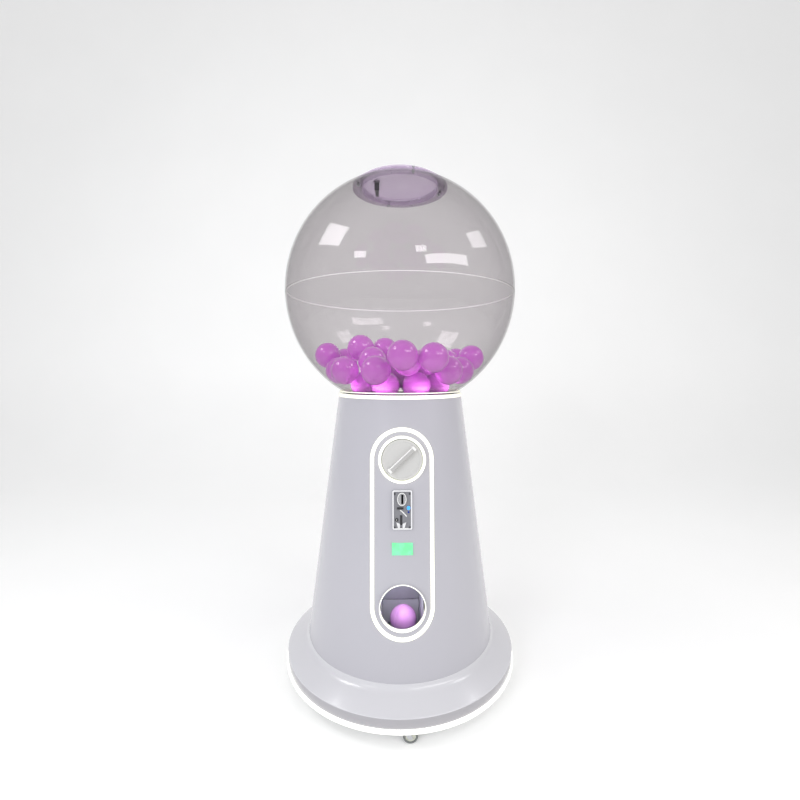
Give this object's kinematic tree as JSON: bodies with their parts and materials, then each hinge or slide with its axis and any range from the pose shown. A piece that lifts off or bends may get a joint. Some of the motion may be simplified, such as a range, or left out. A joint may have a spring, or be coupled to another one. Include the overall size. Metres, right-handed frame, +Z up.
{
  "type": "capsule toy vendor",
  "caption": "Free-standing capsule toy vendor: clear globe of capsules on a conical cabinet with lit knob, coin unit, display and outlet, on a round lit plinth with casters.",
  "frame": {"origin": "on the floor, under the axis of the cabinet and globe", "axes": "+Z up, -Y towards the customer, +X to the customer's right"},
  "size_m": [0.8899, 0.89, 1.8529],
  "materials": {
    "body_white": "gloss paint",
    "light_white": "lit diffuser",
    "clear_acrylic": "clear, polished",
    "lilac_acrylic": "translucent lilac",
    "capsule_purple": "glossy",
    "steel": "plated",
    "chrome": "polished",
    "zinc_grey": "die-cast, satin",
    "dark_plastic": "satin black",
    "grey_plastic": "satin",
    "knob_grey": "satin",
    "display_green": "backlit",
    "lamp_blue": "lit",
    "seal_rubber": "matt",
    "wheel_rubber": "matt",
    "liner_grey": "satin paint",
    "tube_grey": "matt"
  },
  "bodies": {
    "cabinet": {"plinth_shell": "body_white", "base_light_ring": "light_white", "base_plate": "steel", "caster_mounts": "steel", "body_shell": "body_white", "panel_light_loop": "light_white", "knob_light_ring": "light_white", "knob_mount": "steel", "knob_switch": "dark_plastic", "coin_plate": "zinc_grey", "coin_plate_screws": "steel", "coin_entry_bezel": "chrome", "coin_selector": "dark_plastic", "coin_lamp_lens": "lamp_blue", "coin_return_scoop": "chrome", "display_lens": "display_green", "display_module": "dark_plastic", "outlet_ring": "light_white", "outlet_bin": "liner_grey", "capsule_ramp": "liner_grey", "drop_chute": "liner_grey", "hopper_drum": "steel", "gear_motor": "steel", "exit_guard": "steel", "stock_capsules": "capsule_purple", "globe_seal": "seal_rubber", "lower_globe": "clear_acrylic", "upper_globe": "clear_acrylic", "filler_collar": "lilac_acrylic", "globe_screws": "steel", "globe_seam_strip": "clear_acrylic", "neck_light_ring": "light_white", "lid_hinge": "steel", "door_hinges": "steel", "coin_tube": "tube_grey", "control_box": "grey_plastic", "power_inlet": "dark_plastic"},
    "filler_lid": {"filler_lid": "lilac_acrylic", "lid_lock_barrel": "chrome"},
    "lid_lock_cam": {"lid_lock_cam": "steel"},
    "knob": {"knob_disc": "knob_grey", "knob_bar": "knob_grey", "knob_shaft": "steel"},
    "dispense_wheel": {"dispense_wheel": "grey_plastic", "spreader_cap": "grey_plastic", "wheel_shaft": "steel", "loaded_capsules": "capsule_purple"},
    "reject_button": {"reject_button": "dark_plastic"},
    "service_door": {"service_door": "body_white", "door_lock_barrel": "chrome"},
    "door_lock_cam": {"door_lock_cam": "steel"},
    "cash_box": {"cash_box": "steel"},
    "caster_front": {"caster_fork_front": "steel"},
    "wheel_front": {"caster_wheel_front": "wheel_rubber"},
    "caster_right": {"caster_fork_right": "steel"},
    "wheel_right": {"caster_wheel_right": "wheel_rubber"},
    "caster_rear": {"caster_fork_rear": "steel"},
    "wheel_rear": {"caster_wheel_rear": "wheel_rubber"},
    "caster_left": {"caster_fork_left": "steel"},
    "wheel_left": {"caster_wheel_left": "wheel_rubber"}
  },
  "joints": [
    {"name": "lid_hinge_turn", "type": "hinge", "parent": "cabinet", "child": "filler_lid", "pos_m": [0.162, 0, 1.84689], "axis": [0, 1, 0], "range_deg": [0, 100]},
    {"name": "lid_lock_turn", "type": "hinge", "parent": "filler_lid", "child": "lid_lock_cam", "pos_m": [-0.085, -0.01, 1.84489], "axis": [0, 0, 1], "range_deg": [0, 90]},
    {"name": "knob_turn", "type": "hinge", "parent": "cabinet", "child": "knob", "pos_m": [0, -0.26099, 0.8701], "axis": [0, -0.9905, 0.1378], "continuous": true},
    {"name": "wheel_turn", "type": "hinge", "parent": "cabinet", "child": "dispense_wheel", "pos_m": [0, 0, 1], "axis": [0, 0, 1], "continuous": true},
    {"name": "reject_press", "type": "slide", "parent": "cabinet", "child": "reject_button", "axis": [0, 0.9905, -0.1378], "range_m": [0, 0.0025], "stiffness_N_per_m": 600},
    {"name": "door_swing", "type": "hinge", "parent": "cabinet", "child": "service_door", "pos_m": [0.15528, 0.27114, 0.55097], "axis": [0.0685, 0.1196, -0.9905], "range_deg": [0, 105]},
    {"name": "door_lock_turn", "type": "hinge", "parent": "service_door", "child": "door_lock_cam", "pos_m": [-0.12718, 0.27779, 0.55], "axis": [0.4123, -0.9006, -0.1378], "range_deg": [0, 90]},
    {"name": "cash_box_slide", "type": "slide", "parent": "cabinet", "child": "cash_box", "axis": [0, 1, 0], "range_m": [0, 0.12]},
    {"name": "swivel_front", "type": "hinge", "parent": "cabinet", "child": "caster_front", "pos_m": [0, -0.409, 0.05], "axis": [0, 0, 1], "continuous": true},
    {"name": "roll_front", "type": "hinge", "parent": "caster_front", "child": "wheel_front", "pos_m": [0.022, -0.409, 0.024], "axis": [0, 1, 0], "continuous": true},
    {"name": "swivel_right", "type": "hinge", "parent": "cabinet", "child": "caster_right", "pos_m": [0.409, 0, 0.05], "axis": [0, 0, 1], "continuous": true},
    {"name": "roll_right", "type": "hinge", "parent": "caster_right", "child": "wheel_right", "pos_m": [0.409, 0.022, 0.024], "axis": [-1, 0, 0], "continuous": true},
    {"name": "swivel_rear", "type": "hinge", "parent": "cabinet", "child": "caster_rear", "pos_m": [0, 0.409, 0.05], "axis": [0, 0, 1], "continuous": true},
    {"name": "roll_rear", "type": "hinge", "parent": "caster_rear", "child": "wheel_rear", "pos_m": [-0.022, 0.409, 0.024], "axis": [0, -1, 0], "continuous": true},
    {"name": "swivel_left", "type": "hinge", "parent": "cabinet", "child": "caster_left", "pos_m": [-0.409, 0, 0.05], "axis": [0, 0, 1], "continuous": true},
    {"name": "roll_left", "type": "hinge", "parent": "caster_left", "child": "wheel_left", "pos_m": [-0.409, -0.022, 0.024], "axis": [1, 0, 0], "continuous": true}
  ]
}
